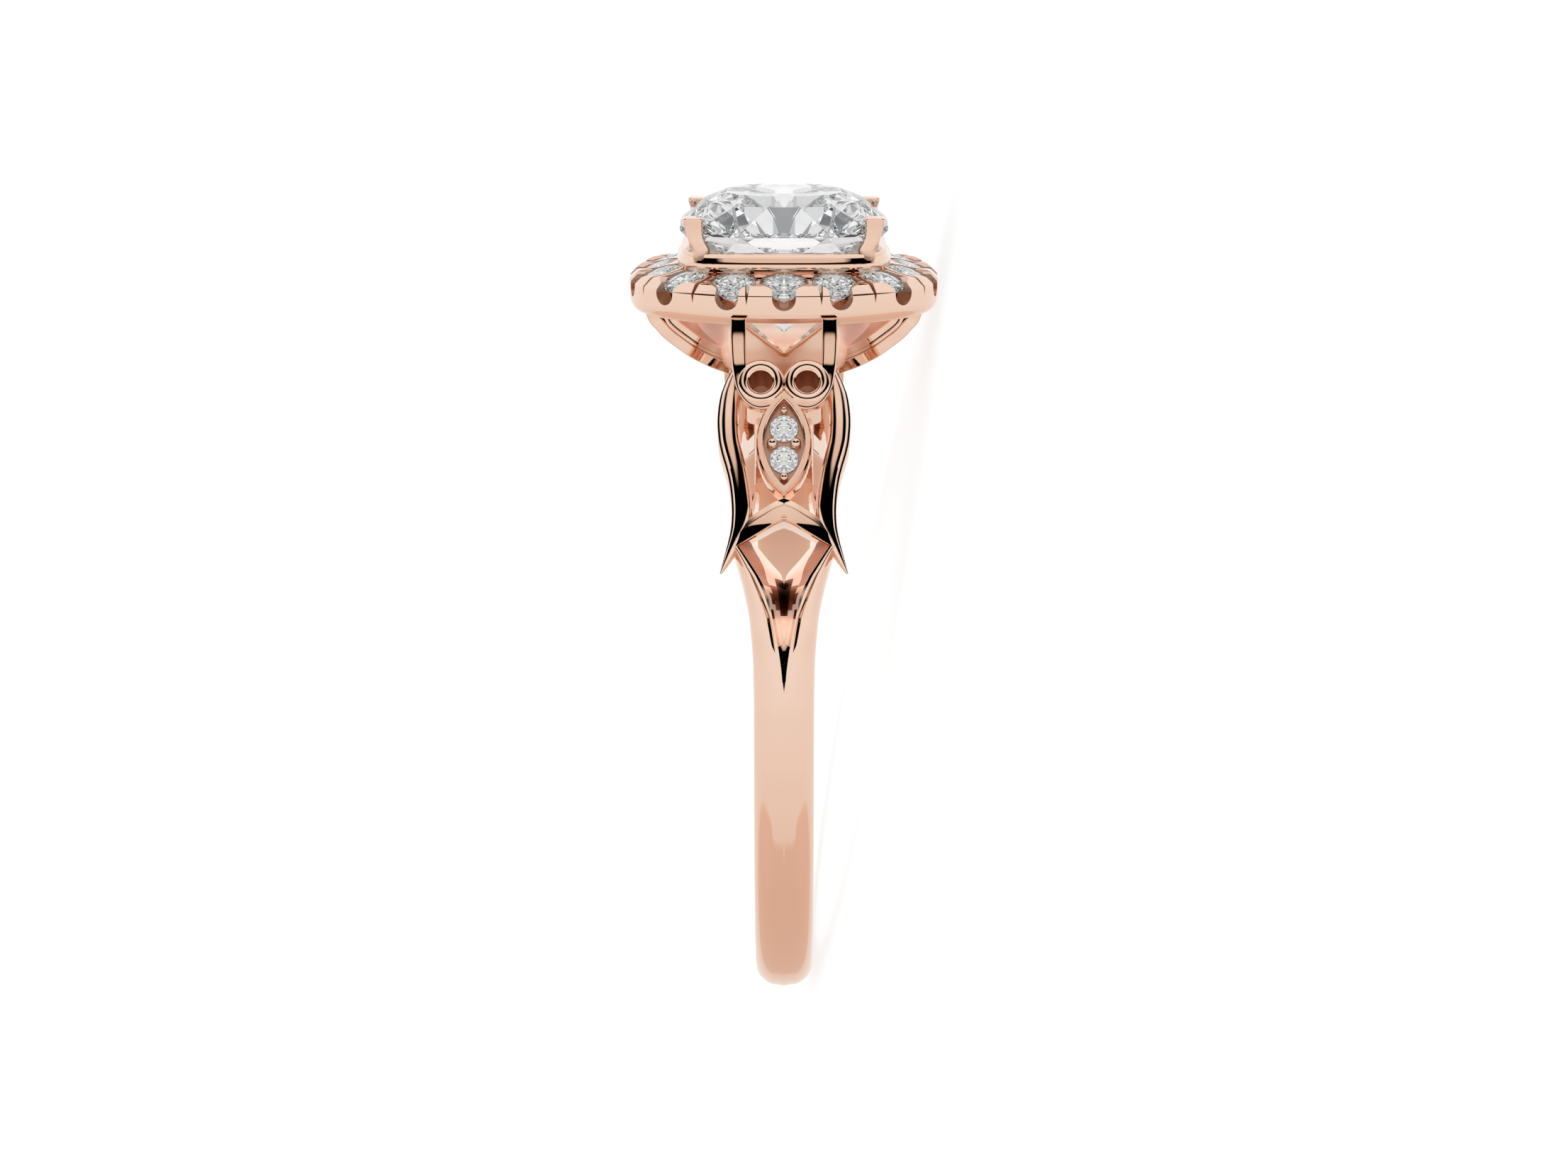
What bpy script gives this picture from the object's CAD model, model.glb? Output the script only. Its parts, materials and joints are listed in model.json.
# %% [markdown]
# Halo engagement ring, the looks.
# The real ring is cast in rose gold, filed, set with diamonds and polished like a mirror. Polished
# metal shows only what it reflects, so its look is made by smooth, closely spaced surfaces with
# crisp edges, and by a studio that has bright and dark zones. The construction comes in as a fixed
# frame; every piece here is laid over it in the same place.

# %% Load the frame and keep its box
import json
import math

import bmesh
import bpy
import numpy as np
from mathutils import Matrix


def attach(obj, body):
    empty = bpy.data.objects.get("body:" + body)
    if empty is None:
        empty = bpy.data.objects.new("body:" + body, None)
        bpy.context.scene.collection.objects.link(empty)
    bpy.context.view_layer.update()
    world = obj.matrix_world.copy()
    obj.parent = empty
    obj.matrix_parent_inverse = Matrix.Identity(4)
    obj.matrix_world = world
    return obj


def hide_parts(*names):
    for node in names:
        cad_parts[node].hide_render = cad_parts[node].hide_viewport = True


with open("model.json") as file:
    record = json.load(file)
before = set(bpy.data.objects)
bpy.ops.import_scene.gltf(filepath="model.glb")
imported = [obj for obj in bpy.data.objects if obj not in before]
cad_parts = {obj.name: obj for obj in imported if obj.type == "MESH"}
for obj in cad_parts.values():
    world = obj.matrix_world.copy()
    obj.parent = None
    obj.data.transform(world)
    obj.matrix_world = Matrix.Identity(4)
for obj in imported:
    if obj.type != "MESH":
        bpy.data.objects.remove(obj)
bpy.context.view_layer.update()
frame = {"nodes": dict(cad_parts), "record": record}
bore = next(m for m in frame["record"]["mounts"] if m["name"] == "finger_bore")

# %% [markdown]
# A ring is easiest to draw standing up, with the finger axis along x, the head up along z and the
# shoulders towards -y and +y, in millimetres. The frame holds it lying on its side. One matrix,
# worked out from the finger hole's own axis, lays each finished mesh down in its place.

# %% From the upright drawing, in millimetres, to the frame, in metres
AXIS_X = -np.array(bore["axis"], float)
AXIS_X /= np.linalg.norm(AXIS_X)
AXIS_Y = np.array([0.0, 1.0, 0.0])
AXIS_Z = np.cross(AXIS_X, AXIS_Y)
MM = 0.001
AXES = np.array([AXIS_X, AXIS_Y, AXIS_Z])
LAY = Matrix([[*(MM * AXES[:, i]), bore["pos_m"][i]] for i in range(3)] + [[0, 0, 0, 1]])
FINGER_R = bore["dims"]["r_mm"]
print("finger hole radius", FINGER_R, "mm; head points along", AXIS_Z.round(3))

# %% [markdown]
# Every metal piece is a skin over rings of points. A short table holds the few sections that
# matter, and a curve through them gives the rest. The ring is the same on both sides and in front
# and behind, so most pieces are drawn as a quarter and mirrored.

# %% Curves through tables and skins over rings
def curve(rows, per_gap):
    """More rows between a table's rows, on a smooth curve that goes through them."""
    p = np.array(rows, float)
    e = np.vstack([2 * p[0] - p[1], p, 2 * p[-1] - p[-2]])
    out = []
    for a, b, c, d in zip(e, e[1:], e[2:], e[3:]):
        for k in range(per_gap):
            t = k / per_gap
            bend, twist = 2 * a - 5 * b + 4 * c - d, 3 * b - a - 3 * c + d
            out.append(0.5 * (2 * b + (c - a) * t + bend * t * t + twist * t ** 3))
    return np.array(out + [p[-1]])


def at(rows, z):
    """A table's other columns at a value of its first column."""
    rows = np.array(rows, float)
    return [np.interp(z, rows[:, 0], rows[:, k]) for k in range(1, rows.shape[1])]


def skin(rings, along=False):
    """Faces over closed rings of points. The ends get caps, or along joins the last to the first."""
    rings = np.array(rings, float)
    m, n = rings.shape[:2]
    faces = []
    for j in range(m if along else m - 1):
        k = (j + 1) % m
        for i in range(n):
            h = (i + 1) % n
            faces.append((j * n + i, j * n + h, k * n + h, k * n + i))
    if not along:
        faces.append(tuple(range(n - 1, -1, -1)))
        faces.append(tuple((m - 1) * n + i for i in range(n)))
    return rings.reshape(-1, 3), faces


def mirror(part, *axes):
    """The same skin mirrored in x, y or both."""
    v, f = part[0].copy(), part[1]
    for axis in axes:
        v[:, "xyz".index(axis)] *= -1
        f = [tuple(reversed(face)) for face in f]
    return v, f


def four(part):
    """A quarter of the ring, mirrored to all four."""
    return [part, mirror(part, "x"), mirror(part, "y"), mirror(part, "x", "y")]


print("a table of 3 rows makes a curve of", len(curve([(0, 0), (1, 1), (2, 0)], 8)), "rows")

# %% [markdown]
# Skins are put together in one mesh, and points that meet are welded. Seats, notches and slots are
# cut with files and drills on the real ring. Here a boolean takes the tool's shape away, because it
# gives the crisp edges that such cuts have, and its result is kept as a plain mesh.

# %% Meshes and cuts
def mesh_of(name, parts, weld=1e-4, drop=()):
    """One mesh of several skins. Faces on the mirror planes named in drop go, and points weld."""
    bm = bmesh.new()
    for v, f in parts:
        points = [bm.verts.new(p) for p in v]
        for face in f:
            try:
                bm.faces.new([points[i] for i in face])
            except ValueError:
                pass
    for axis in drop:
        flat = [f for f in bm.faces if all(abs(v.co["xyz".index(axis)]) < weld for v in f.verts)]
        bmesh.ops.delete(bm, geom=flat, context="FACES")
    bmesh.ops.remove_doubles(bm, verts=bm.verts, dist=weld)
    bmesh.ops.dissolve_degenerate(bm, edges=bm.edges, dist=weld)
    bmesh.ops.recalc_face_normals(bm, faces=bm.faces)
    mesh = bpy.data.meshes.new(name)
    bm.to_mesh(mesh)
    bm.free()
    return mesh


def in_scene(name, mesh):
    """A new object in the scene."""
    obj = bpy.data.objects.new(name, mesh)
    bpy.context.scene.collection.objects.link(obj)
    return obj


def evaluated(obj, name):
    """The plain mesh of an object with its modifiers, which is then deleted."""
    mesh = bpy.data.meshes.new_from_object(obj.evaluated_get(bpy.context.evaluated_depsgraph_get()))
    mesh.name = name
    bpy.data.objects.remove(obj)
    return mesh


def cut(mesh, cutter, operation="DIFFERENCE"):
    """mesh with cutter taken away, or joined to it."""
    body, tool = in_scene("cut_body", mesh), in_scene("cut_tool", cutter)
    boolean = body.modifiers.new("cut", "BOOLEAN")
    boolean.operation = operation
    boolean.solver = "EXACT"
    boolean.object = tool
    out = evaluated(body, mesh.name)
    bpy.data.objects.remove(tool)
    return out


print("meshes and cuts are ready")

# %% [markdown]
# A finished piece is laid in the frame, where it takes the place of the plain solid. Faces meet
# smoothly unless they turn by more than a set angle, which leaves a crisp edge as a file does.

# %% Finished pieces
made = []


def piece(name, mesh, material, crease=30, node="ring_mount"):
    """A finished piece, laid in the frame, with crisp edges past the crease angle."""
    mesh.transform(LAY)
    mesh.materials.clear()
    mesh.materials.append(material)
    mesh.polygons.foreach_set("use_smooth", [True] * len(mesh.polygons))
    mesh.set_sharp_from_angle(angle=math.radians(crease))
    obj = in_scene(name, mesh)
    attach(obj, "root")
    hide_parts(*([node] if isinstance(node, str) else node))
    # a stone bends only the room's light, so its facets stay clear of the metal's colour
    obj.visible_transmission = material is not GOLD
    mesh.calc_loop_triangles()
    made.append((name, len(mesh.loop_triangles)))
    print(f"{name}: {len(mesh.loop_triangles)} triangles")


print("pieces so far:", len(made))

# %% [markdown]
# Rose gold is gold with copper. Its colour comes from how it reflects, so the metal is fully
# metallic with a warm base colour and a very low roughness. A faint wave in the polish breaks up
# the mirror as on a hand-finished ring. The polishing brush doesn't reach into holes and notches,
# so faces that carry the attribute "recess" are satin, then copper brown, and black where deepest.
# A render doesn't carry light through the stone onto the metal behind it, so lit satin gets a
# faint light of its own in its place.

# %% Rose gold
SATIN, FAINTLY_LIT, LIT = 0.10, 0.145, 0.15
TINGED, HALF_BROWN, BROWN, BLACK = 0.22, 0.30, 0.5, 1.0
ROSE_GOLD = (0.875, 0.645, 0.52)
COPPER_BROWN = (0.64, 0.27, 0.14)
NEARLY_BLACK = (0.02, 0.006, 0.004)
OWN_LIGHT = (0.36, 0.285, 0.245)
NO_LIGHT = (0, 0, 0)


def feed(socket, value):
    """Put a number or a colour into a socket, or link an output to it."""
    if isinstance(value, bpy.types.NodeSocket):
        socket.id_data.links.new(value, socket)
    else:
        socket.default_value = value


def colour_ramp(nodes, value, stops, interpolation="LINEAR"):
    """Colours along a value from 0 to 1. Stops are places with their colours."""
    node = nodes.new("ShaderNodeValToRGB")
    node.color_ramp.interpolation = interpolation
    elements = node.color_ramp.elements
    while len(elements) < len(stops):
        elements.new(0.5)
    for element, (place, colour) in zip(elements, stops):
        element.position = place
        element.color = (*colour, 1)
    feed(node.inputs["Fac"], value)
    return node.outputs["Color"]


def rose_gold_material():
    mat = bpy.data.materials.new("rose_gold_polished")
    mat.use_nodes = True
    nodes = mat.node_tree.nodes
    shader = nodes["Principled BSDF"]
    shader.inputs["Metallic"].default_value = 1.0
    recess = nodes.new("ShaderNodeAttribute")
    recess.attribute_name = "recess"
    depth = recess.outputs["Fac"]
    feed(shader.inputs["Base Color"], colour_ramp(nodes, depth, [
        (0.0, ROSE_GOLD), (LIT, ROSE_GOLD), (BROWN, COPPER_BROWN), (BLACK, NEARLY_BLACK)]))
    where = nodes.new("ShaderNodeTexCoord")
    wave = nodes.new("ShaderNodeTexNoise")
    wave.inputs["Scale"].default_value = 900.0
    wave.inputs["Detail"].default_value = 2.0
    feed(wave.inputs["Vector"], where.outputs["Object"])
    rough = nodes.new("ShaderNodeMapRange")
    rough.inputs["To Min"].default_value = 0.03
    rough.inputs["To Max"].default_value = 0.06
    feed(rough.inputs["Value"], wave.outputs["Fac"])
    satin = nodes.new("ShaderNodeMapRange")
    satin.inputs["From Max"].default_value = SATIN
    satin.inputs["To Max"].default_value = 0.35
    feed(satin.inputs["Value"], depth)
    duller = nodes.new("ShaderNodeMath")
    feed(duller.inputs[0], satin.outputs["Result"])
    feed(duller.inputs[1], rough.outputs["Result"])
    feed(shader.inputs["Roughness"], duller.outputs[0])
    feed(shader.inputs["Emission Color"], colour_ramp(nodes, depth, [
        (0.11, NO_LIGHT), (LIT, OWN_LIGHT), (0.2, NO_LIGHT), (1.0, NO_LIGHT)]))
    shader.inputs["Emission Strength"].default_value = 1.0
    return mat


def mark_recess(mesh, how_deep):
    """Store how far each face lies in a recess, as 0 to 1, worked out from its centre."""
    values = [float(how_deep(f.center)) for f in mesh.polygons]
    mesh.attributes.new("recess", "FLOAT", "FACE").data.foreach_set("value", values)
    return mesh


def by_finger(p):
    """A satin finish on faces that line the finger hole."""
    return SATIN if math.hypot(p.y, p.z) < FINGER_R + 0.12 else 0.0


GOLD = rose_gold_material()
print("material:", GOLD.name)

# %% [markdown]
# The shoulders rise from the band in one smooth line. Everything on a shoulder is placed by its
# height, its distance from the middle, and its depth below that line. Plain coordinates would do
# too, but this way all the pieces of a shoulder lie on the same line and fit each other.

# %% The line of a shoulder, seen from the side
BAND_R = 10.25
BAND_HALF = 0.95
# height z, place y
SIDE_ROWS = [(0.0, -10.25), (1.2, -10.22), (2.5, -10.12), (4.5, -9.74), (6.5, -9.10), (8.2, -8.40),
             (9.95, -7.40), (11.6, -6.20), (13.4, -5.00)]
SIDE = curve(SIDE_ROWS, 16)


def side(z):
    """Point on the shoulder's line at height z, and the outward normal there."""
    y = np.interp(z, SIDE[:, 0], SIDE[:, 1])
    dy = np.interp(z + 0.1, SIDE[:, 0], SIDE[:, 1]) - np.interp(z - 0.1, SIDE[:, 0], SIDE[:, 1])
    n = np.array([0, -0.2, dy])
    return np.array([0, y, z]), n / np.linalg.norm(n)


def section(point, normal, across, depth):
    """Points of a section through a shoulder or the band: distances across and depths below the line."""
    return point + np.outer(across, [1, 0, 0]) - np.outer(depth, normal)


def depth_to(radius, point, normal):
    """Depth below a point of the line at which a radius round the finger axis is reached."""
    b = point @ normal
    return b - math.sqrt(b * b - (point @ point - radius ** 2))


print("shoulder normal at z 8.2:", side(8.2)[1].round(3))

# %% [markdown]
# The band is D-shaped, domed outside and softly rounded inside. Along each shoulder it opens:
# a bevel, a narrow land and a second bevel lead down into a groove, the groove deepens, and past
# a height of about 6 mm it is cut right through and the band has become two arms. Past 7 mm the
# arms sink behind the chevrons, and past 8 mm they thin down to meet the bridge. A boolean could
# cut the groove, but its walls change all the way up, so they are part of the section here.

# %% Sections of the band and its arms
# height z, half width, bevel's edge, land's outer and inner edge, wall's middle, depth of the
# land, of the wall's middle and of the groove, inner edge of the opening
BAND_ROWS = [
    (0.00, 0.950, 0.36, 0.02, 0.00, 0.00, 0.00, 0.00, 0.00, 0.00),
    (2.10, 0.950, 0.36, 0.02, 0.00, 0.00, 0.00, 0.00, 0.00, 0.00),
    (2.42, 0.955, 0.36, 0.04, 0.01, 0.00, 0.01, 0.01, 0.01, 0.00),
    (2.85, 0.965, 0.35, 0.13, 0.05, 0.01, 0.05, 0.09, 0.10, 0.00),
    (3.18, 0.970, 0.35, 0.19, 0.08, 0.02, 0.08, 0.16, 0.18, 0.00),
    (3.51, 0.980, 0.36, 0.23, 0.12, 0.03, 0.11, 0.24, 0.26, 0.00),
    (3.84, 1.000, 0.40, 0.27, 0.17, 0.04, 0.13, 0.33, 0.35, 0.00),
    (4.17, 1.030, 0.46, 0.32, 0.23, 0.07, 0.15, 0.45, 0.48, 0.00),
    (4.50, 1.060, 0.51, 0.37, 0.30, 0.13, 0.16, 0.58, 0.66, 0.00),
    (4.82, 1.090, 0.57, 0.43, 0.36, 0.20, 0.16, 0.72, 0.88, 0.00),
    (5.14, 1.140, 0.66, 0.54, 0.42, 0.25, 0.15, 0.90, 1.15, 0.00),
    (5.47, 1.210, 0.76, 0.68, 0.49, 0.30, 0.14, 1.10, 1.50, 0.00),
    (5.79, 1.280, 0.89, 0.82, 0.63, 0.40, 0.11, 1.15, 1.85, 0.00),
    (6.11, 1.370, 1.03, 0.98, 0.81, 0.55, 0.08, 1.15, 3.00, 0.00),
    (6.43, 1.460, 1.22, 1.19, 1.03, 0.62, 0.06, 1.10, 3.20, 0.10),
    (6.75, 1.560, 1.41, 1.39, 1.26, 0.78, 0.05, 1.10, 3.20, 0.38),
    (7.00, 1.640, 1.58, 1.56, 1.44, 0.94, 0.05, 1.10, 3.20, 0.58),
    (7.45, 1.600, 1.52, 1.50, 1.40, 1.14, 0.10, 1.10, 3.20, 0.88),
    (8.20, 1.500, 1.40, 1.38, 1.30, 1.10, 0.30, 1.10, 3.20, 0.90),
    (9.40, 0.960, 0.95, 0.94, 0.93, 0.92, 0.30, 1.10, 3.20, 0.80),
]
# heights at which the arms begin to sink and to thin, and the radius that their ends come down to
ARM_SINKS_AT = 6.95
ARM_THINS_AT = 8.1
ARM_END_R = 9.55
ARM_TOP = BAND_ROWS[-1][0]


def dome(x, crown, half, drop=0.80, power=2.15):
    """Depth of the domed outside at x, from its crown line out to its edge."""
    t = np.clip((x - crown) / (half - crown), 0, 1)
    return drop * (1 - (1 - t ** power) ** (1 / power))


def band_section(point, normal, z):
    """A quarter ring's section at a point of its line. The height z picks the row of the table."""
    half, bevel, land_o, land_i, wall, d_land, d_wall, d_groove, opening = at(BAND_ROWS, max(z, 0))
    deep = depth_to(FINGER_R, point, normal)
    crown = bevel * np.clip((z - 2.4) / 2.0, 0, 1)
    turn = np.linspace(0, 1, 18)[:-1] ** 0.75
    face_x = half - (half - bevel) * (1 - np.cos(turn * math.pi / 2))
    face_d = dome(face_x, crown, half)
    edge = dome(np.array([bevel, land_o, land_i]), crown, half)
    fade = min(1, d_land / 0.05)
    wall_d = edge[2] + max(d_wall, d_land)
    groove_d = min(max(d_groove, d_wall), deep)
    groove = [(bevel, edge[0]),
              (bevel - 0.35 * (bevel - land_o), edge[0] + 0.25 * d_land),
              (land_o + 0.015 * fade, edge[1] + d_land - 0.01 * fade),
              (land_o, edge[1] + d_land),
              (0.5 * (land_o + land_i), edge[1] + d_land - 0.02 * fade),
              (land_i, edge[2] + d_land),
              (0.5 * (land_i + wall), edge[2] + d_land + 0.55 * (max(d_wall, d_land) - d_land)),
              (wall, wall_d),
              (0.5 * (wall + opening), 0.5 * (wall_d + groove_d)),
              (opening, groove_d)]
    soft = np.linspace(0, math.pi / 2, 6)
    inside = [(opening, deep), (0.5 * (opening + half - 0.2), deep)]
    inside += [(half - 0.18 + 0.18 * math.sin(a), deep - 0.18 + 0.18 * math.cos(a)) for a in soft]
    points = np.array([(x, d) for x, d in zip(face_x, face_d)] + groove + inside)
    sunk = 0.4 * max(0, z - ARM_SINKS_AT)
    thinned = np.clip((z - ARM_THINS_AT) / 0.5, 0, 1)
    top = sunk + (depth_to(ARM_END_R, point, normal) - sunk) * thinned
    points[:, 1] = np.maximum(points[:, 1], top)
    return section(point, normal, points[:, 0], points[:, 1])


print("band sections:", len(BAND_ROWS), "from height 0 to", ARM_TOP, "mm")

# %% [markdown]
# One quarter of the band is skinned and mirrored, and the points on the mirror planes are welded.
# The hollow below the opening is out of the polishing brush's reach, so it is nearly black, and its
# slopes are copper brown.

# %% Band and split arms
# height z, reach of the dark hollow below the opening
HOLLOW_ROWS = [(4.80, 0.0), (5.15, 0.22), (5.55, 0.46), (5.9, 0.38), (6.2, 0.17), (6.35, 0.0)]


def band_quarter():
    rings = []
    for a in np.radians(np.linspace(0, 90, 31)[:-1]):
        n = np.array([0, -math.sin(a), -math.cos(a)])
        rings.append(band_section(BAND_R * n, n, -1))
    for z in np.linspace(0, ARM_TOP, 104):
        rings.append(band_section(*side(z), z))
    return skin(rings)


def in_band(p):
    """Satin in the finger hole and the groove. The hollow is nearly black, its slopes copper brown."""
    point, normal = side(p.z)
    depth = (point - np.array([0, -abs(p.y), p.z])) @ normal
    z = p.z + depth * normal[2]
    half, *_, wall, _, _, _, _ = at(BAND_ROWS, max(z, 0))
    skin_depth = 0.35 if z < 5.8 else 0.15
    if p.z < 3.5 or depth < skin_depth or abs(p.x) > 0.88 * half or by_finger(p):
        return by_finger(p)
    reach = at(HOLLOW_ROWS, z)[0]
    if abs(p.x) < reach:
        return float(np.interp(abs(p.x) / reach, [0.2, 0.5, 1.0], [BLACK, 0.85, BROWN]))
    if z > 5.8 and abs(p.x) > wall:
        return float(np.interp(z, [5.8, 6.2, 6.9, 7.1], [0.35, BROWN, BROWN, 0.75]))
    return FAINTLY_LIT


band = mesh_of("band", four(band_quarter()), weld=2e-4, drop="xy")
piece("band", mark_recess(band, in_band), GOLD, crease=24)

# %% [markdown]
# Under the head the band is thinner and runs on as a bridge, which shows between the shoulders'
# pieces. It has one section all along, so that section is simply swept round the finger's axis.

# %% Bridge under the head
BRIDGE_R = 9.6


def bridge():
    deep = BRIDGE_R - FINGER_R
    half = [(BAND_HALF, deep), (BAND_HALF, 0.10), (0.92, 0.03), (0.85, 0)]
    outline = np.array(half + [(-x, d) for x, d in reversed(half)])
    rings = []
    for a in np.radians(np.linspace(58.5, 121.5, 64)):
        n = np.array([0, -math.cos(a), math.sin(a)])
        rings.append(section(BRIDGE_R * n, n, outline[:, 0], outline[:, 1]))
    return skin(rings)


piece("bridge", mark_recess(mesh_of("bridge", [bridge()]), by_finger), GOLD)

# %% [markdown]
# Each shoulder is framed by two rails. A rail is a domed bar on a wider back layer, whose edge
# shows as a thin bright line, and at its lower end the back layer runs out into a pointed leaf.
# Sweeping one profile along a curve would keep its proportions, and these change all the way up,
# so each height has its own section.

# %% Rails of the shoulders
# height z, outer edge, inner edge, depth, how far the inner edge is turned down
RAIL_ROWS = [
    (6.16, 2.00, 1.95, 0.30, 0.02),
    (6.45, 1.93, 1.74, 0.60, 0.04),
    (6.80, 1.84, 1.50, 0.85, 0.06),
    (7.20, 1.74, 1.24, 1.00, 0.09),
    (7.60, 1.67, 1.06, 1.10, 0.12),
    (8.05, 1.65, 0.98, 1.20, 0.14),
    (8.50, 1.68, 1.01, 1.30, 0.14),
    (8.95, 1.75, 1.09, 1.35, 0.12),
    (9.35, 1.86, 1.18, 1.40, 0.09),
    (9.75, 1.99, 1.29, 1.40, 0.06),
    (10.15, 2.08, 1.39, 1.40, 0.03),
    (10.70, 2.12, 1.43, 1.35, 0.00),
    (11.25, 2.06, 1.40, 1.20, 0.00),
    (11.60, 1.95, 1.34, 1.05, 0.00),
    (11.95, 1.76, 1.26, 0.90, 0.00),
    (12.25, 1.50, 1.30, 0.50, 0.00),
]


def rail():
    rings = []
    for z, outer, inner, depth, turn in curve(RAIL_ROWS, 6):
        w = outer - inner
        k = min(1, w / 0.6)
        lip, step = 0.09 * k, 0.05 * k
        a, b = outer - lip, inner + step
        outline = [(outer, depth), (outer, 0.32 * k), (outer - 0.02 * k, 0.26 * k),
                   (a + 0.01, 0.24 * k), (a, 0.22 * k), (a, 0.10 * k)]
        for t in np.linspace(0, 1, 15):
            rise = (1 - abs(2 * t - 1) ** 2.6) ** (1 / 1.6)
            outline.append((a + (b - a) * t, 0.10 * k - 0.13 * k * rise + turn * t))
        outline += [(b, 0.20 * k + turn), (inner + 0.02 * k, 0.22 * k + turn),
                    (inner, 0.26 * k + turn), (inner, depth)]
        outline = np.array(outline)
        rings.append(section(*side(z), outline[:, 0], outline[:, 1]))
    return skin(rings)


rails = mesh_of("shoulder_rails", four(rail()))
piece("shoulder_rails", mark_recess(rails, by_finger), GOLD, crease=28)

# %% [markdown]
# A chevron crosses each shoulder from rail to rail. It has a bright bevel along its top edge. Below
# that its face leans out, less and less towards the rails. A bar could be bent into this shape, but
# sections placed on the shoulder's line follow it closely. Its small bead comes with the others.

# %% Chevrons
# distance from the middle, top edge, bottom edge
CHEVRON_ROWS = [(0.00, 8.40, 7.70), (0.30, 8.30, 7.58), (0.62, 8.12, 7.40), (0.95, 7.92, 7.22),
                (1.25, 7.66, 7.06), (1.50, 7.34, 6.94), (1.68, 7.05, 6.86)]


def chevron_depths(x):
    """Shares of the way down a chevron's face, with the depths there."""
    flat = 0.9 - 0.58 * float(np.clip((x - 0.35) / 0.85, 0, 1))

    def lean(t):
        return 0.035 - 0.15 * (min(t, flat) - 0.32)

    low = lean(0.9)
    bevel = [(0, 1.3), (0, 0.15), (0.02, 0.11), (0.26, 0.037), (0.28, 0.035), (0.32, 0.035)]
    face = [(t, lean(t)) for t in np.linspace(0.36, 0.9, 9)]
    return bevel + face + [(0.93, low + 0.02), (0.99, low + 0.08), (1.0, low + 0.14), (0.95, 1.3)]


def chevron_half():
    rings = []
    for x, top, bottom in curve(CHEVRON_ROWS, 6):
        ring = []
        for t, d in chevron_depths(x):
            p, n = side(top + (bottom - top) * t)
            ring.append(p - n * d + np.array([x, 0, 0]))
        rings.append(ring)
    return skin(rings)


chevrons = mesh_of("chevrons", four(chevron_half()), drop="x")
piece("chevrons", mark_recess(chevrons, by_finger), GOLD, crease=28)

# %% [markdown]
# The marquise frame is a pointed oval with a flat rim, a deep floor and four beads that hold its
# two stones. A pointed oval is two equal arcs, so its outline is worked out from its length and
# width and not traced, and the rim is that outline moved inwards. The seats are cut like drilled ones.

# %% Marquise frames
MARQUISE_MID = np.array([0, -7.40, 9.93])
ALONG = np.array([0, 0.543, 0.840])
OUT = np.array([0, -0.840, 0.543])
MARQUISE_L = 3.6
MARQUISE_W = 1.76
MARQUISE_R = (MARQUISE_L ** 2 + MARQUISE_W ** 2) / (4 * MARQUISE_W)
# distance in from the edge, height: up the outside, over the rim and down to the floor
MARQUISE_ROWS = [(0.03, -0.80), (0.0, 0.06), (0.02, 0.12), (0.05, 0.15), (0.06, 0.18), (0.20, 0.18),
                 (0.21, 0.15), (0.24, 0.13), (0.25, 0.05), (0.25, -0.10)]
# radius, height
STONE_SEAT_ROWS = [(0.10, -0.62), (0.465, -0.12), (0.465, 0.5)]
STONE_PLACES = (-0.53, 0.53)


def pointed_oval(inset, count=24):
    """Outline of the marquise at a distance in from its edge, two arcs that meet in points."""
    r = MARQUISE_R - inset
    c = MARQUISE_R - MARQUISE_W / 2
    tip = math.sqrt(r ** 2 - c * c)
    out = []
    for s in (1, -1):
        for t in np.linspace(1, -1, count, endpoint=False):
            y = tip * t * s
            out.append((s * (math.sqrt(r ** 2 - y * y) - c), y))
    return np.array(out)


def on_marquise(xy, height):
    """Points on the marquise's plane, raised by a height."""
    raised = np.outer(np.full(len(xy), height), OUT)
    return MARQUISE_MID + np.outer(xy[:, 0], [1, 0, 0]) + np.outer(xy[:, 1], ALONG) + raised


def marquise_mesh():
    """The frame, with a cone and a step sunk in its floor for each stone."""
    rings = [on_marquise(pointed_oval(inset), h) for inset, h in MARQUISE_ROWS]
    body = mesh_of("marquise", [skin(rings)])
    turn = np.radians(np.arange(0, 360, 7.5))
    for place in STONE_PLACES:
        rings = [on_marquise(np.column_stack([r * np.cos(turn), place + r * np.sin(turn)]), h)
                 for r, h in STONE_SEAT_ROWS]
        body = cut(body, mesh_of("stone_seat", [skin(rings)]))
    return body


def with_back(mesh):
    """A mesh with its mirror image on the other shoulder."""
    bm = bmesh.new()
    bm.from_mesh(mesh)
    other = bm.copy()
    bmesh.ops.scale(other, vec=(1, -1, 1), verts=other.verts)
    bmesh.ops.reverse_faces(other, faces=other.faces)
    back = bpy.data.meshes.new("marquise_back")
    other.to_mesh(back)
    bm.from_mesh(back)
    bm.to_mesh(mesh)
    bm.free()
    other.free()
    return mesh


def on_marquise_floor(p):
    """Half copper brown on the floor and walls inside a marquise frame."""
    q = np.array([p.x, -abs(p.y), p.z]) - MARQUISE_MID
    inside = math.hypot(abs(q[0]) + MARQUISE_R - MARQUISE_W / 2, q @ ALONG) < MARQUISE_R - 0.235
    return HALF_BROWN if inside and q @ OUT < 0.125 else 0.0


piece("marquise_frames", mark_recess(with_back(marquise_mesh()), on_marquise_floor), GOLD, crease=28)

# %% [markdown]
# Beads, the halo's stones and the cutters for their seats repeat, so geometry nodes trees set them
# on points. The steps that these trees share are functions: each adds its nodes to a tree and gives
# back an output. That is shorter than copies of the same nodes in three trees.

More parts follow.
